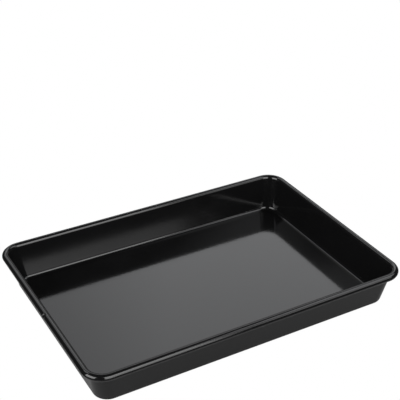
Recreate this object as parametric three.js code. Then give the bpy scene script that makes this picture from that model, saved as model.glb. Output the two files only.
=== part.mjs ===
// Paint roller tray: one pressing of black enamelled steel sheet whose edge is rolled
// over a steel wire. The tray is flat-bottomed, with drafted walls and rounded corners.
//
// Millimetres, +Z up. The origin is the centre of the underside, X runs along the long
// side and Y along the short side.
//
// Both pieces are swept round the same rounded rectangle. A section is drawn in a plane
// square to the rim: "inset" is the distance inwards from the rim's outer edge, and
// "height" is the distance up from the surface that the tray stands on.

import * as THREE from "three";

const degrees = THREE.MathUtils.degToRad;

// Overall size, over the rolled rim.
const LENGTH = 400;
const WIDTH = 280.5;
const HEIGHT = 46.5;

// The pressing.
const SHEET = 1;
const WALL_DRAFT = degrees(10.2);
const FOLD_RADIUS = 4; // inside the fold between the floor and the walls
const RIM_CORNER = 25; // corner radius of the rim's outer edge, seen from above
const FLOOR_CORNER = 16; // corner radius where the walls meet the floor

// The rolled rim. The curl runs from the wall, over the top, down outside and back
// under, measured from the inward direction, and stops just short of the wall.
const BEAD_RADIUS = 4.2;
const CURL_END = degrees(320);

// The wire inside it, a loop whose ends stop a little apart on the left side.
const WIRE_CLEARANCE = 0.3;
const WIRE_RADIUS = BEAD_RADIUS - SHEET - WIRE_CLEARANCE;
const WIRE_JOINT_Y = -14;
const WIRE_JOINT_GAP = 6;

// How finely round stretches are divided.
const CORNER_STEPS = 8;
const CURL_STEPS = 20;
const FOLD_STEPS = 4;
const WIRE_SIDES = 12;

// Places on the section that follow from the sizes above.
const BEAD_HEIGHT = HEIGHT - BEAD_RADIUS;
const WALL_TOP_INSET = BEAD_RADIUS * (1 + Math.cos(WALL_DRAFT));
const WALL_TOP_HEIGHT = BEAD_HEIGHT + BEAD_RADIUS * Math.sin(WALL_DRAFT);
const WALL_RUN = (WALL_TOP_HEIGHT - SHEET) * Math.tan(WALL_DRAFT);
const FLOOR_INSET = WALL_TOP_INSET + WALL_RUN;
const FOLD_INSET = FLOOR_INSET + FOLD_RADIUS * Math.tan((Math.PI / 2 - WALL_DRAFT) / 2);
const FOLD_HEIGHT = SHEET + FOLD_RADIUS;

// How far in from the rim's outer edge the corners' centres lie. They move inwards
// towards the floor, which keeps the bottom corners fuller than the rim's would be.
function cornerCentreInset(height) {
  const depth = (BEAD_HEIGHT - height) / (BEAD_HEIGHT - SHEET);
  return THREE.MathUtils.lerp(RIM_CORNER, FLOOR_INSET + FLOOR_CORNER,
    THREE.MathUtils.clamp(depth, 0, 1));
}

// Directions round the rim, anticlockwise from above, starting on the left side after
// the back left corner. Straight sides need no stations of their own.
function cornerStations() {
  const stations = [];
  const corners = [[-1, -1], [1, -1], [1, 1], [-1, 1]];
  corners.forEach(([signX, signY], corner) => {
    for (let step = 0; step <= CORNER_STEPS; step++) {
      const angle = Math.PI + (Math.PI / 2) * (corner + step / CORNER_STEPS);
      stations.push((inset, height) => {
        const centre = cornerCentreInset(height);
        const radius = centre - inset;
        return [
          signX * (LENGTH / 2 - centre) + radius * Math.cos(angle),
          signY * (WIDTH / 2 - centre) + radius * Math.sin(angle),
          height,
        ];
      });
    }
  });
  return stations;
}

// A station on the left side, at a given Y.
function leftStation(y) {
  return (inset, height) => [inset - LENGTH / 2, y, height];
}

function arc(inset, height, radius, from, to, steps) {
  const clockwise = to < from;
  return new THREE.EllipseCurve(inset, height, radius, radius, from, to, clockwise)
    .getPoints(steps);
}

// The sheet's section, from the edge of the floor's upper face up the inside of the
// wall, round the curl and back down the outside to the edge of the underside.
function sheetSection() {
  const wallSide = Math.PI + WALL_DRAFT;
  const down = 1.5 * Math.PI;
  const curlInside = BEAD_RADIUS - SHEET;
  return [
    ...arc(FOLD_INSET, FOLD_HEIGHT, FOLD_RADIUS, down, wallSide, FOLD_STEPS),
    ...arc(BEAD_RADIUS, BEAD_HEIGHT, BEAD_RADIUS, WALL_DRAFT, CURL_END, CURL_STEPS),
    ...arc(BEAD_RADIUS, BEAD_HEIGHT, curlInside, CURL_END, WALL_DRAFT, CURL_STEPS),
    ...arc(FOLD_INSET, FOLD_HEIGHT, FOLD_RADIUS + SHEET, wallSide, down, FOLD_STEPS),
  ];
}

function wireSection() {
  return arc(BEAD_RADIUS, BEAD_HEIGHT, WIRE_RADIUS, 0, 2 * Math.PI, WIRE_SIDES)
    .slice(0, WIRE_SIDES);
}

function geometryFrom(vertices, triangles) {
  const geometry = new THREE.BufferGeometry();
  geometry.setAttribute("position", new THREE.Float32BufferAttribute(vertices.flat(), 3));
  geometry.setIndex(triangles.flat());
  geometry.computeVertexNormals();
  return geometry;
}

// A fan of triangles from a new vertex in the middle of a ring of vertex numbers.
function addCap(vertices, triangles, ring, middle) {
  const hub = vertices.push(middle) - 1;
  ring.forEach((vertex, index) => {
    triangles.push([hub, vertex, ring[(index + 1) % ring.length]]);
  });
}

// Two triangles between each pair of neighbouring section points, from one station to
// the next. Vertices are numbered station by station.
function addBand(triangles, station, nextStation, sectionLength, isClosedSection) {
  const edges = isClosedSection ? sectionLength : sectionLength - 1;
  for (let point = 0; point < edges; point++) {
    const nextPoint = (point + 1) % sectionLength;
    const here = station * sectionLength;
    const there = nextStation * sectionLength;
    triangles.push([here + point, here + nextPoint, there + nextPoint]);
    triangles.push([here + point, there + nextPoint, there + point]);
  }
}

function placeSection(section, stations) {
  return stations.flatMap((station) => section.map(({ x, y }) => station(x, y)));
}

function trayBodyGeometry() {
  const section = sheetSection();
  const stations = cornerStations();
  const vertices = placeSection(section, stations);
  const triangles = [];
  stations.forEach((_, index) => {
    addBand(triangles, index, (index + 1) % stations.length, section.length, false);
  });
  const floorRing = stations.map((_, index) => index * section.length);
  const undersideRing = floorRing.map((first) => first + section.length - 1).reverse();
  addCap(vertices, triangles, floorRing, [0, 0, SHEET]);
  addCap(vertices, triangles, undersideRing, [0, 0, 0]);
  return geometryFrom(vertices, triangles);
}

function rimWireGeometry() {
  const section = wireSection();
  const startY = WIRE_JOINT_Y - WIRE_JOINT_GAP / 2;
  const endY = WIRE_JOINT_Y + WIRE_JOINT_GAP / 2;
  const stations = [leftStation(startY), ...cornerStations(), leftStation(endY)];
  const vertices = placeSection(section, stations);
  const triangles = [];
  for (let index = 0; index < stations.length - 1; index++) {
    addBand(triangles, index, index + 1, section.length, true);
  }
  const startRing = section.map((_, point) => point).reverse();
  const lastStation = (stations.length - 1) * section.length;
  const endRing = section.map((_, point) => lastStation + point);
  addCap(vertices, triangles, startRing, stations[0](BEAD_RADIUS, BEAD_HEIGHT));
  addCap(vertices, triangles, endRing, stations.at(-1)(BEAD_RADIUS, BEAD_HEIGHT));
  return geometryFrom(vertices, triangles);
}

function namedMesh(name, geometry, material) {
  const mesh = new THREE.Mesh(geometry, material);
  mesh.name = name;
  return mesh;
}

const blackEnamel = new THREE.MeshStandardMaterial({
  color: 0x0b0b0c,
  roughness: 0.15,
  metalness: 0,
});

const steelWire = new THREE.MeshStandardMaterial({
  color: 0x8a8d90,
  roughness: 0.4,
  metalness: 1,
});

const rollerTray = new THREE.Group();
rollerTray.add(namedMesh("tray_body", trayBodyGeometry(), blackEnamel));
rollerTray.add(namedMesh("rim_wire", rimWireGeometry(), steelWire));

export default rollerTray;
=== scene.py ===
"""A black enamelled paint roller tray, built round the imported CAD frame.

The pressed tray body and the wire inside its rolled rim are modelled finely here and
stand for the plain CAD solids. Lengths are in metres, in the CAD frame: +Z up, X along
the long side, origin at the centre of the underside.
"""

import math

import bmesh
import bpy
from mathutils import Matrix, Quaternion, Vector


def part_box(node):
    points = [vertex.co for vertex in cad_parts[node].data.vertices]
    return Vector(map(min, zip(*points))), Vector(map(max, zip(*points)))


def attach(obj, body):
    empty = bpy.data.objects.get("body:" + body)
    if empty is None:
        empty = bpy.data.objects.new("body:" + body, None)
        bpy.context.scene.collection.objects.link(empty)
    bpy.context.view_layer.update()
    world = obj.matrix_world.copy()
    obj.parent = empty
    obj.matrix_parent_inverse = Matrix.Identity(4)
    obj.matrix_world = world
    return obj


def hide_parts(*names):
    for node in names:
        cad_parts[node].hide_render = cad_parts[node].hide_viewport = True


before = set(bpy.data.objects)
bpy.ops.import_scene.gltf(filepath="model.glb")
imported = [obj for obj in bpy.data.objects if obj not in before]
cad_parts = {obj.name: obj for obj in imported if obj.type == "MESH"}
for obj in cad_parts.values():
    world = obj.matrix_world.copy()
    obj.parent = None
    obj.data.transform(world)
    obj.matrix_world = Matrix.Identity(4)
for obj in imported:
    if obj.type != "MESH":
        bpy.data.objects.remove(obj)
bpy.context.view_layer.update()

MM = 0.001

# Overall size, from the frame.
_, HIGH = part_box("tray_body")
HALF_LENGTH = HIGH.x
HALF_WIDTH = HIGH.y
HEIGHT = HIGH.z

# The pressing and its rolled rim, as in the CAD model.
SHEET = 1.0 * MM
WALL_DRAFT = math.radians(10.2)
FOLD_RADIUS = 4.0 * MM
RIM_CORNER = 25.0 * MM
FLOOR_CORNER = 16.0 * MM
BEAD_RADIUS = 4.2 * MM
CURL_END = math.radians(320)
WIRE_CLEARANCE = 0.3 * MM
WIRE_RADIUS = BEAD_RADIUS - SHEET - WIRE_CLEARANCE
WIRE_JOINT_Y = -14.0 * MM
WIRE_JOINT_GAP = 6.0 * MM

# The small dent where the curl is pressed into the gap between the wire's ends. It
# starts abruptly, just clear of the back end of the gap, and fades out towards the front
# end.
DENT_DEPTH = 1.2 * MM
DENT_CLEARANCE = 0.2 * MM
DENT_BACK_Y = WIRE_JOINT_Y + WIRE_JOINT_GAP / 2 - DENT_CLEARANCE
DENT_FRONT_Y = WIRE_JOINT_Y - WIRE_JOINT_GAP / 2
DENT_STEP = 0.8 * MM

# Places on the section that follow from the sizes above.
BEAD_HEIGHT = HEIGHT - BEAD_RADIUS
WALL_TOP_INSET = BEAD_RADIUS * (1 + math.cos(WALL_DRAFT))
WALL_TOP_HEIGHT = BEAD_HEIGHT + BEAD_RADIUS * math.sin(WALL_DRAFT)
WALL_RUN = (WALL_TOP_HEIGHT - SHEET) * math.tan(WALL_DRAFT)
FLOOR_INSET = WALL_TOP_INSET + WALL_RUN
FOLD_INSET = FLOOR_INSET + FOLD_RADIUS * math.tan((math.pi / 2 - WALL_DRAFT) / 2)
FOLD_HEIGHT = SHEET + FOLD_RADIUS

# How finely the surfaces are divided.
CORNER_STEPS = 32
SIDE_STEP = 8 * MM
DENT_STATION_STEP = 0.4 * MM
CURL_STEPS = 56
FOLD_STEPS = 12
WALL_STEPS = 10
FLOOR_SCALES = [0.995, 0.98, 0.95, 0.9, 0.8, 0.7, 0.6, 0.5, 0.4, 0.3, 0.2, 0.1]
WIRE_SIDES = 24
SHARP_ANGLE = math.radians(50)

# The camera, aimed at a point on the standing surface behind the tray. Its azimuth is 0
# in front of the tray (-Y) and 90 degrees to its right (+X). The lens is in
# millimetres, on Blender's own 36 mm sensor.
CAMERA_TARGET = Vector((0.10935, 0.18914, 0.0))
CAMERA_AZIMUTH = math.radians(-29.549)
CAMERA_ELEVATION = math.radians(30.070)
CAMERA_ROLL = math.radians(0.261)
CAMERA_DISTANCE = 1.31556
CAMERA_LENS = 84.097

# Softboxes far from the tray: azimuth and elevation of the centre as the tray sees it,
# width and height, all in degrees, then the radiance at the left edge and on the right,
# and the colour. Azimuth 0 is behind the tray (+Y), 90 is to its right (+X).
WHITE_LIGHT = (1.0, 1.0, 1.0)
COOL_LIGHT = (0.99, 1.0, 1.02)
SOFTBOXES = {
    "left_softbox": (262.0, 20.0, 42.0, 46.0, 6.0, 6.0, WHITE_LIGHT),
    "back_left_reflector": (-4.0, 37.0, 30.0, 16.0, 0.5, 1.2, COOL_LIGHT),
    "back_right_reflector": (33.0, 37.5, 32.0, 17.0, 1.1, 1.95, COOL_LIGHT),
    "back_low_reflector": (36.0, 10.0, 60.0, 30.0, 0.55, 0.3, WHITE_LIGHT),
    "right_reflector": (107.0, 50.0, 40.0, 24.0, 1.8, 2.9, COOL_LIGHT),
    "front_low_softbox": (177.0, 9.0, 43.0, 28.0, 2.6, 4.6, WHITE_LIGHT),
    "front_high_softbox": (175.0, 38.0, 38.0, 30.0, 5.0, 5.6, WHITE_LIGHT),
    "front_right_softbox": (144.0, 26.0, 16.0, 20.0, 2.0, 2.4, WHITE_LIGHT),
    "high_back_left_reflector": (-26.0, 52.0, 30.0, 14.0, 2.0, 2.0, COOL_LIGHT),
}
SOFTBOX_DISTANCE = 12.0

# The share of a softbox's width, from its left edge, over which its radiance changes.
SOFTBOX_RAMP = 0.35

# What everything but the camera sees where there is no softbox.
ROOM_RADIANCE = 0.05

# The stand, which is a little larger than the tray. It isn't seen itself, but it shows
# in the enamel of the outer walls.
STAND_MARGIN = 50 * MM
STAND_DROP = 0.2 * MM
STAND_SEGMENTS = 8
STAND_DARK = (0.22, 0.22, 0.22, 1.0)
STAND_LIGHT = (0.25, 0.25, 0.25, 1.0)
STAND_MOTTLE_SCALE = 12.0
STAND_ROUGHNESS = 0.8
STAND_GLOW = 0.5

# Most of a noise's values lie between these.
NOISE_SPAN = (0.3, 0.7)

# Blender's mix node has sockets of the same names for each type of data, so the ones
# for colours are found by number.
MIX_SHARE = 0
MIX_FIRST = 6
MIX_SECOND = 7
MIX_RESULT = 2

# The enamel. A noise scale is one over the size of a feature in metres.
CLOUD_SCALE = 22.0
PEEL_SCALE = 260.0
PEEL_DEPTH = 0.012 * MM
GRAIN_SCALE = 2400.0
GRAIN_DEPTH = 0.0015 * MM
ENAMEL_IOR = 1.45
ENAMEL_ROUGHNESS = (0.065, 0.09)
GRAIN_ROUGHNESS = 0.03
ENAMEL_DARK = (0.0029, 0.0029, 0.0030, 1.0)
ENAMEL_LIGHT = (0.0042, 0.0042, 0.0043, 1.0)
ENAMEL_RUBBED = (0.05, 0.05, 0.05, 1.0)

# Where the enamel is rubbed: down to a depth below the crest of the rim, and up to a
# height above the underside. The grain picks out the specks that are rubbed.
CREST_RUB_DEPTH = 1.2 * MM
CREST_RUB_GRAIN = (0.5, 0.7)
CREST_RUB_ROUGHNESS = 0.1
FOOT_RUB_HEIGHT = 0.9 * MM
FOOT_RUB_FULL_HEIGHT = 0.1 * MM
FOOT_RUB_GRAIN = (0.52, 0.66)
FOOT_RUB_ROUGHNESS = 0.3

# The wire.
TARNISH_SCALE = 90.0
DIE_LINE_SCALE = 3200.0
DIE_LINE_DEPTH = 0.004 * MM
STEEL_ROUGHNESS = (0.28, 0.45)
STEEL_BRIGHT = (0.50, 0.51, 0.52, 1.0)
STEEL_TARNISHED = (0.36, 0.35, 0.34, 1.0)


# ---- Geometry ---------------------------------------------------------------------


def lerp(a, b, t):
    return a + (b - a) * t


def smooth_share(value, low, high):
    """0 at low, 1 at high, with a smooth start and end."""
    share = min(max((value - low) / (high - low), 0.0), 1.0)
    return share * share * (3 - 2 * share)


def corner_centre_inset(height):
    """How far in from the rim's outer edge the corners' centres lie at a height."""
    depth = (BEAD_HEIGHT - height) / (BEAD_HEIGHT - SHEET)
    return lerp(RIM_CORNER, FLOOR_INSET + FLOOR_CORNER, min(max(depth, 0), 1))


def corner_station(sign_x, sign_y, angle):
    def place(inset, height):
        centre = corner_centre_inset(height)
        radius = centre - inset
        return Vector((
            sign_x * (HALF_LENGTH - centre) + radius * math.cos(angle),
            sign_y * (HALF_WIDTH - centre) + radius * math.sin(angle),
            height,
        ))
    return place


def side_station(start, end, share):
    return lambda inset, height: start(inset, height).lerp(end(inset, height), share)


def left_station(y):
    return lambda inset, height: Vector((inset - HALF_LENGTH, y, height))


def corner_stations(sign_x, sign_y, first_angle):
    """Stations round one corner, through a quarter turn."""
    return [
        corner_station(sign_x, sign_y, first_angle + math.pi / 2 * step / CORNER_STEPS)
        for step in range(CORNER_STEPS + 1)
    ]


def side_stations(start, end, length):
    """Evenly spaced stations along a straight side, without its ends."""
    steps = round(length / SIDE_STEP)
    return [side_station(start, end, step / steps) for step in range(1, steps)]


def dent_stations():
    """Closely spaced stations along the stretch of the left side with the dent."""
    back = DENT_BACK_Y + 2 * DENT_STEP
    front = DENT_FRONT_Y - 2 * DENT_STEP
    steps = round((back - front) / DENT_STATION_STEP)
    return [left_station(lerp(back, front, step / steps)) for step in range(steps + 1)]


def left_side_stations(start, end):
    """Stations down the left side, from the back corner to the front one."""
    dent = dent_stations()
    back_y = start(0, BEAD_HEIGHT).y - dent[0](0, BEAD_HEIGHT).y
    front_y = dent[-1](0, BEAD_HEIGHT).y - end(0, BEAD_HEIGHT).y
    back = side_stations(start, dent[0], back_y)
    front = side_stations(dent[-1], end, front_y)
    return [*back, *dent, *front]


def rim_stations():
    """Stations round the whole rim, anticlockwise from above, from the front left
    corner. Each one is a function that places a section point (inset, height)."""
    front_left = corner_stations(-1, -1, math.pi)
    front_right = corner_stations(1, -1, 1.5 * math.pi)
    back_right = corner_stations(1, 1, 0.0)
    back_left = corner_stations(-1, 1, 0.5 * math.pi)
    return [
        *front_left,
        *side_stations(front_left[-1], front_right[0], 2 * HALF_LENGTH),
        *front_right,
        *side_stations(front_right[-1], back_right[0], 2 * HALF_WIDTH),
        *back_right,
        *side_stations(back_right[-1], back_left[0], 2 * HALF_LENGTH),
        *back_left,
        *left_side_stations(back_left[-1], front_left[0]),
    ]


def arc(inset, height, radius, start, end, steps):
    angles = [lerp(start, end, step / steps) for step in range(steps + 1)]
    return [(inset + radius * math.cos(a), height + radius * math.sin(a)) for a in angles]


def line(start, end, steps):
    """The points between two section points, without the ends."""
    return [
        (lerp(start[0], end[0], k / steps), lerp(start[1], end[1], k / steps))
        for k in range(1, steps)
    ]


def sheet_section():
    """The sheet's section, from the edge of the floor's upper face up the inside of the
    wall, round the curl and back down the outside to the edge of the underside."""
    wall_side = math.pi + WALL_DRAFT
    down = 1.5 * math.pi
    curl_inside = BEAD_RADIUS - SHEET
    fold_in = arc(FOLD_INSET, FOLD_HEIGHT, FOLD_RADIUS, down, wall_side, FOLD_STEPS)
    bead = arc(BEAD_RADIUS, BEAD_HEIGHT, BEAD_RADIUS, WALL_DRAFT, CURL_END, CURL_STEPS)
    curl = arc(BEAD_RADIUS, BEAD_HEIGHT, curl_inside, CURL_END, WALL_DRAFT, CURL_STEPS)
    fold_out = arc(FOLD_INSET, FOLD_HEIGHT, FOLD_RADIUS + SHEET, wall_side, down, FOLD_STEPS)
    return [
        *fold_in,
        *line(fold_in[-1], bead[0], WALL_STEPS),
        *bead,
        *curl,
        *line(curl[-1], fold_out[0], WALL_STEPS),
        *fold_out,
    ]


def dented(point):
    """A point of the pressing, pushed towards the bead's centre where the dent is. The
    dent is deepest along the bead's outermost line."""
    if point.x > -HALF_LENGTH + BEAD_RADIUS:
        return point
    centre = Vector((-HALF_LENGTH + BEAD_RADIUS, point.y, BEAD_HEIGHT))
    inwards = (centre - point).normalized()
    rise = smooth_share(-point.y, -DENT_BACK_Y, -DENT_BACK_Y + DENT_STEP)
    fade = smooth_share(point.y, DENT_FRONT_Y, DENT_BACK_Y - DENT_STEP)
    return point + inwards * DENT_DEPTH * rise * fade * inwards.x


def add_band(mesh, first, second):
    """Quads between two closed rings of vertices."""
    for k in range(len(first)):
        n = (k + 1) % len(first)
        mesh.faces.new((first[k], second[k], second[n], first[n]))


def add_flat(mesh, edge):
    """A flat face inside a ring, made of smaller and smaller copies of the ring."""
    outer = edge
    middle = Vector((0, 0, edge[0].co.z))
    for scale in FLOOR_SCALES:
        inner = [mesh.verts.new(middle + (vert.co - middle) * scale) for vert in edge]
        add_band(mesh, inner, outer)
        outer = inner
    add_fan(mesh, outer, middle)


def add_fan(mesh, ring, middle):
    hub = mesh.verts.new(middle)
    for k, vert in enumerate(ring):
        mesh.faces.new((vert, ring[(k + 1) % len(ring)], hub))


def new_piece(mesh, name):
    data = bpy.data.meshes.new(name)
    mesh.normal_update()
    mesh.to_mesh(data)
    mesh.free()
    data.shade_smooth()
    data.set_sharp_from_angle(angle=SHARP_ANGLE)
    piece = bpy.data.objects.new(name, data)
    bpy.context.scene.collection.objects.link(piece)
    return piece


def make_tray():
    """The whole pressing: a section swept round the rim, and the two floor faces."""
    mesh = bmesh.new()
    stations = rim_stations()
    rings = [
        [mesh.verts.new(dented(place(*point))) for place in stations]
        for point in sheet_section()
    ]
    for inner, outer in zip(rings, rings[1:]):
        add_band(mesh, inner, outer)
    add_flat(mesh, rings[0])
    add_flat(mesh, list(reversed(rings[-1])))
    return new_piece(mesh, "enamelled_tray")


def wire_stations():
    """Stations along the wire, from the front end of its gap round to the back end."""
    return [
        left_station(WIRE_JOINT_Y - WIRE_JOINT_GAP / 2),
        *corner_stations(-1, -1, math.pi),
        *corner_stations(1, -1, 1.5 * math.pi),
        *corner_stations(1, 1, 0.0),
        *corner_stations(-1, 1, 0.5 * math.pi),
        left_station(WIRE_JOINT_Y + WIRE_JOINT_GAP / 2),
    ]


def make_wire():
    """The wire in the rim, an open loop with flat ends on the left side."""
    mesh = bmesh.new()
    circle = arc(BEAD_RADIUS, BEAD_HEIGHT, WIRE_RADIUS, 0, 2 * math.pi, WIRE_SIDES)[:-1]
    stations = wire_stations()
    rings = [[mesh.verts.new(place(*point)) for point in circle] for place in stations]
    for ring, following in zip(rings, rings[1:]):
        add_band(mesh, following, ring)
    add_fan(mesh, list(reversed(rings[0])), stations[0](BEAD_RADIUS, BEAD_HEIGHT))
    add_fan(mesh, rings[-1], stations[-1](BEAD_RADIUS, BEAD_HEIGHT))
    return new_piece(mesh, "drawn_wire")


# ---- Materials --------------------------------------------------------------------


def new_material(name):
    material = bpy.data.materials.new(name)
    material.use_nodes = True
    material.node_tree.nodes.clear()
    return material


def add_node(tree, kind, inputs=(), **settings):
    """A new node. Each input is a socket to link from, or a plain value."""
    node = tree.nodes.new(kind)
    for key, value in settings.items():
        setattr(node, key, value)
    for key, value in dict(inputs).items():
        if isinstance(value, bpy.types.NodeSocket):
            tree.links.new(value, node.inputs[key])
        else:
            node.inputs[key].default_value = value
    return node


def object_coordinates(tree):
    return add_node(tree, "ShaderNodeTexCoord").outputs["Object"]


def noise(tree, coordinates, scale, detail=2.0, roughness=0.5):
    """Noise from 0 to 1 whose features are about 1 / scale metres across."""
    inputs = {
        "Vector": coordinates,
        "Scale": scale,
        "Detail": detail,
        "Roughness": roughness,
    }
    return add_node(tree, "ShaderNodeTexNoise", inputs).outputs["Fac"]


def remap(tree, value, low, high, to_low, to_high):
    inputs = {
        "Value": value,
        "From Min": low,
        "From Max": high,
        "To Min": to_low,
        "To Max": to_high,
    }
    return add_node(tree, "ShaderNodeMapRange", inputs).outputs["Result"]


def maths(tree, operation, first, second):
    node = add_node(tree, "ShaderNodeMath", {0: first, 1: second}, operation=operation)
    return node.outputs[0]


def mix_colour(tree, share, first, second):
    inputs = {MIX_SHARE: share, MIX_FIRST: first, MIX_SECOND: second}
    node = add_node(tree, "ShaderNodeMix", inputs, data_type="RGBA")
    return node.outputs[MIX_RESULT]


def bump(tree, height, distance, strength=1.0, normal=None):
    inputs = {"Height": height, "Distance": distance, "Strength": strength}
    if normal is not None:
        inputs["Normal"] = normal
    return add_node(tree, "ShaderNodeBump", inputs).outputs["Normal"]


def finish_material(material, shader):
    tree = material.node_tree
    output = tree.nodes.new("ShaderNodeOutputMaterial")
    tree.links.new(shader.outputs["BSDF"], output.inputs["Surface"])
    return material


def height_share(tree, coordinates, none, full):
    """0 at the height none, 1 at the height full, and the same beyond them. Either of
    them may be the higher one."""
    parts = add_node(tree, "ShaderNodeSeparateXYZ", {"Vector": coordinates})
    return remap(tree, parts.outputs["Z"], none, full, 0.0, 1.0)


def enamel_roughness(tree, cloud, grain, crest, rubbed):
    """The sum of the enamel's own roughness, its grain's and that of both rubbed places."""
    crest_grain = remap(tree, grain, *CREST_RUB_GRAIN, 0.0, CREST_RUB_ROUGHNESS)
    parts = [
        remap(tree, grain, *NOISE_SPAN, 0.0, GRAIN_ROUGHNESS),
        maths(tree, "MULTIPLY", crest, crest_grain),
        remap(tree, rubbed, 0.0, 1.0, 0.0, FOOT_RUB_ROUGHNESS),
    ]
    total = remap(tree, cloud, *NOISE_SPAN, *ENAMEL_ROUGHNESS)
    for part in parts:
        total = maths(tree, "ADD", total, part)
    return total


def enamel_material():
    """Glossy black enamel with a faint cloud in its colour, orange peel, and rubbing at
    the foot and along the crest of the rim."""
    material = new_material("glossy_enamel")
    tree = material.node_tree
    place = object_coordinates(tree)
    cloud = noise(tree, place, CLOUD_SCALE, detail=4.0)
    peel = noise(tree, place, PEEL_SCALE, detail=1.0)
    grain = noise(tree, place, GRAIN_SCALE, detail=3.0, roughness=0.6)
    crest = height_share(tree, place, HEIGHT - CREST_RUB_DEPTH, HEIGHT)
    foot = height_share(tree, place, FOOT_RUB_HEIGHT, FOOT_RUB_FULL_HEIGHT)
    rubbed = maths(tree, "MULTIPLY", foot, remap(tree, grain, *FOOT_RUB_GRAIN, 0.0, 1.0))
    enamel = mix_colour(tree, cloud, ENAMEL_DARK, ENAMEL_LIGHT)
    normal = bump(tree, peel, PEEL_DEPTH)
    inputs = {
        "Base Color": mix_colour(tree, rubbed, enamel, ENAMEL_RUBBED),
        "Roughness": enamel_roughness(tree, cloud, grain, crest, rubbed),
        "IOR": ENAMEL_IOR,
        "Normal": bump(tree, grain, GRAIN_DEPTH, normal=normal),
    }
    return finish_material(material, add_node(tree, "ShaderNodeBsdfPrincipled", inputs))


def wire_material():
    """Drawn steel wire: fine die lines, a little tarnish."""
    material = new_material("drawn_steel")
    tree = material.node_tree
    place = object_coordinates(tree)
    tarnish = noise(tree, place, TARNISH_SCALE, detail=4.0)
    lines = noise(tree, place, DIE_LINE_SCALE)
    inputs = {
        "Base Color": mix_colour(tree, tarnish, STEEL_BRIGHT, STEEL_TARNISHED),
        "Metallic": 1.0,
        "Roughness": remap(tree, lines, *NOISE_SPAN, *STEEL_ROUGHNESS),
        "Normal": bump(tree, lines, DIE_LINE_DEPTH),
    }
    return finish_material(material, add_node(tree, "ShaderNodeBsdfPrincipled", inputs))


def stand_material():
    """The plain surface that the tray stands on, lit a little from within."""
    material = new_material("plain_stand")
    tree = material.node_tree
    mottle = noise(tree, object_coordinates(tree), STAND_MOTTLE_SCALE)
    inputs = {
        "Base Color": mix_colour(tree, mottle, STAND_DARK, STAND_LIGHT),
        "Roughness": STAND_ROUGHNESS,
        "Emission Color": STAND_DARK,
        "Emission Strength": STAND_GLOW,
    }
    return finish_material(material, add_node(tree, "ShaderNodeBsdfPrincipled", inputs))


# ---- Stage, lights and camera -------------------------------------------------------


def direction(azimuth, elevation):
    """The way to a point seen from the tray. Azimuth 0 is +Y and 90 degrees is +X."""
    return Vector((
        math.sin(azimuth) * math.cos(elevation),
        math.cos(azimuth) * math.cos(elevation),
        math.sin(elevation),
    ))


def make_stand():
    mesh = bmesh.new()
    segments = STAND_SEGMENTS
    bmesh.ops.create_grid(mesh, x_segments=segments, y_segments=segments, size=1.0)
    size = Vector((HALF_LENGTH + STAND_MARGIN, HALF_WIDTH + STAND_MARGIN, 1.0))
    bmesh.ops.scale(mesh, verts=mesh.verts, vec=size)
    stand = new_piece(mesh, "stand")
    stand.location.z = -STAND_DROP
    stand.data.materials.append(stand_material())
    stand.visible_camera = False


def grade_softbox(light, left, right):
    """Makes a light's strength change evenly across a share SOFTBOX_RAMP of its width,
    from its left edge as the tray sees it, and stay the same from there on."""
    light.use_nodes = True
    tree = light.node_tree
    across = add_node(tree, "ShaderNodeNewGeometry").outputs["Parametric"]
    parts = add_node(tree, "ShaderNodeSeparateXYZ", {"Vector": across})
    strength = remap(tree, parts.outputs["X"], 1.0, 1.0 - SOFTBOX_RAMP, left, right)
    tree.links.new(strength, tree.nodes["Emission"].inputs["Strength"])


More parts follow.
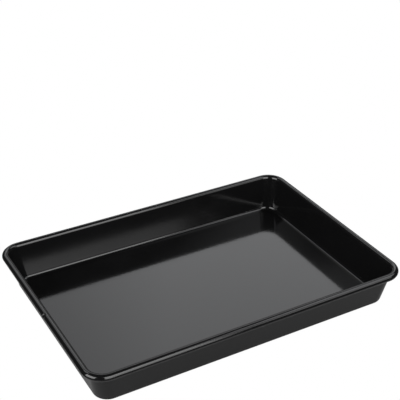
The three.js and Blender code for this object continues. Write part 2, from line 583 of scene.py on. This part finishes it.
def make_softbox(name, azimuth, elevation, width, height, left, right, colour):
    """A softbox that faces the tray. Its energy makes a strength of 1 a radiance of 1."""
    light = bpy.data.lights.new(name, "AREA")
    light.color = colour
    light.shape = "RECTANGLE"
    light.size = 2 * SOFTBOX_DISTANCE * math.tan(math.radians(width) / 2)
    light.size_y = 2 * SOFTBOX_DISTANCE * math.tan(math.radians(height) / 2)
    light.energy = math.pi * light.size * light.size_y
    grade_softbox(light, left, right)
    softbox = bpy.data.objects.new(name, light)
    softbox.visible_camera = False
    way = direction(math.radians(azimuth), math.radians(elevation))
    softbox.location = way * SOFTBOX_DISTANCE
    softbox.rotation_euler = way.to_track_quat("Z", "Y").to_euler()
    bpy.context.scene.collection.objects.link(softbox)


def make_world():
    """Plain white behind the tray, and a dim room for everything but the camera."""
    world = bpy.data.worlds.new("studio")
    world.use_nodes = True
    tree = world.node_tree
    tree.nodes.clear()
    rays = add_node(tree, "ShaderNodeLightPath")
    room = (ROOM_RADIANCE, ROOM_RADIANCE, ROOM_RADIANCE, 1.0)
    white = (1.0, 1.0, 1.0, 1.0)
    seen = mix_colour(tree, rays.outputs["Is Camera Ray"], room, white)
    background = add_node(tree, "ShaderNodeBackground", {"Color": seen, "Strength": 1.0})
    output = tree.nodes.new("ShaderNodeOutputWorld")
    tree.links.new(background.outputs["Background"], output.inputs["Surface"])
    bpy.context.scene.world = world


def make_camera():
    data = bpy.data.cameras.new("camera")
    data.lens = CAMERA_LENS
    camera = bpy.data.objects.new("camera", data)
    back = direction(math.pi - CAMERA_AZIMUTH, CAMERA_ELEVATION)
    camera.location = CAMERA_TARGET + back * CAMERA_DISTANCE
    roll = Quaternion((0, 0, 1), CAMERA_ROLL)
    camera.rotation_euler = (back.to_track_quat("Z", "Y") @ roll).to_euler()
    bpy.context.scene.collection.objects.link(camera)
    bpy.context.scene.camera = camera


# ---- The scene ----------------------------------------------------------------------


def place_piece(piece, material, node):
    """Finishes a piece that stands for a CAD node and takes its material slot."""
    piece.data.materials.append(material)
    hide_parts(node)
    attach(piece, "root")


place_piece(make_tray(), enamel_material(), "tray_body")
place_piece(make_wire(), wire_material(), "rim_wire")
make_stand()
for softbox_name, softbox in SOFTBOXES.items():
    make_softbox(softbox_name, *softbox)
make_world()
make_camera()
bpy.context.scene.view_settings.view_transform = "Standard"
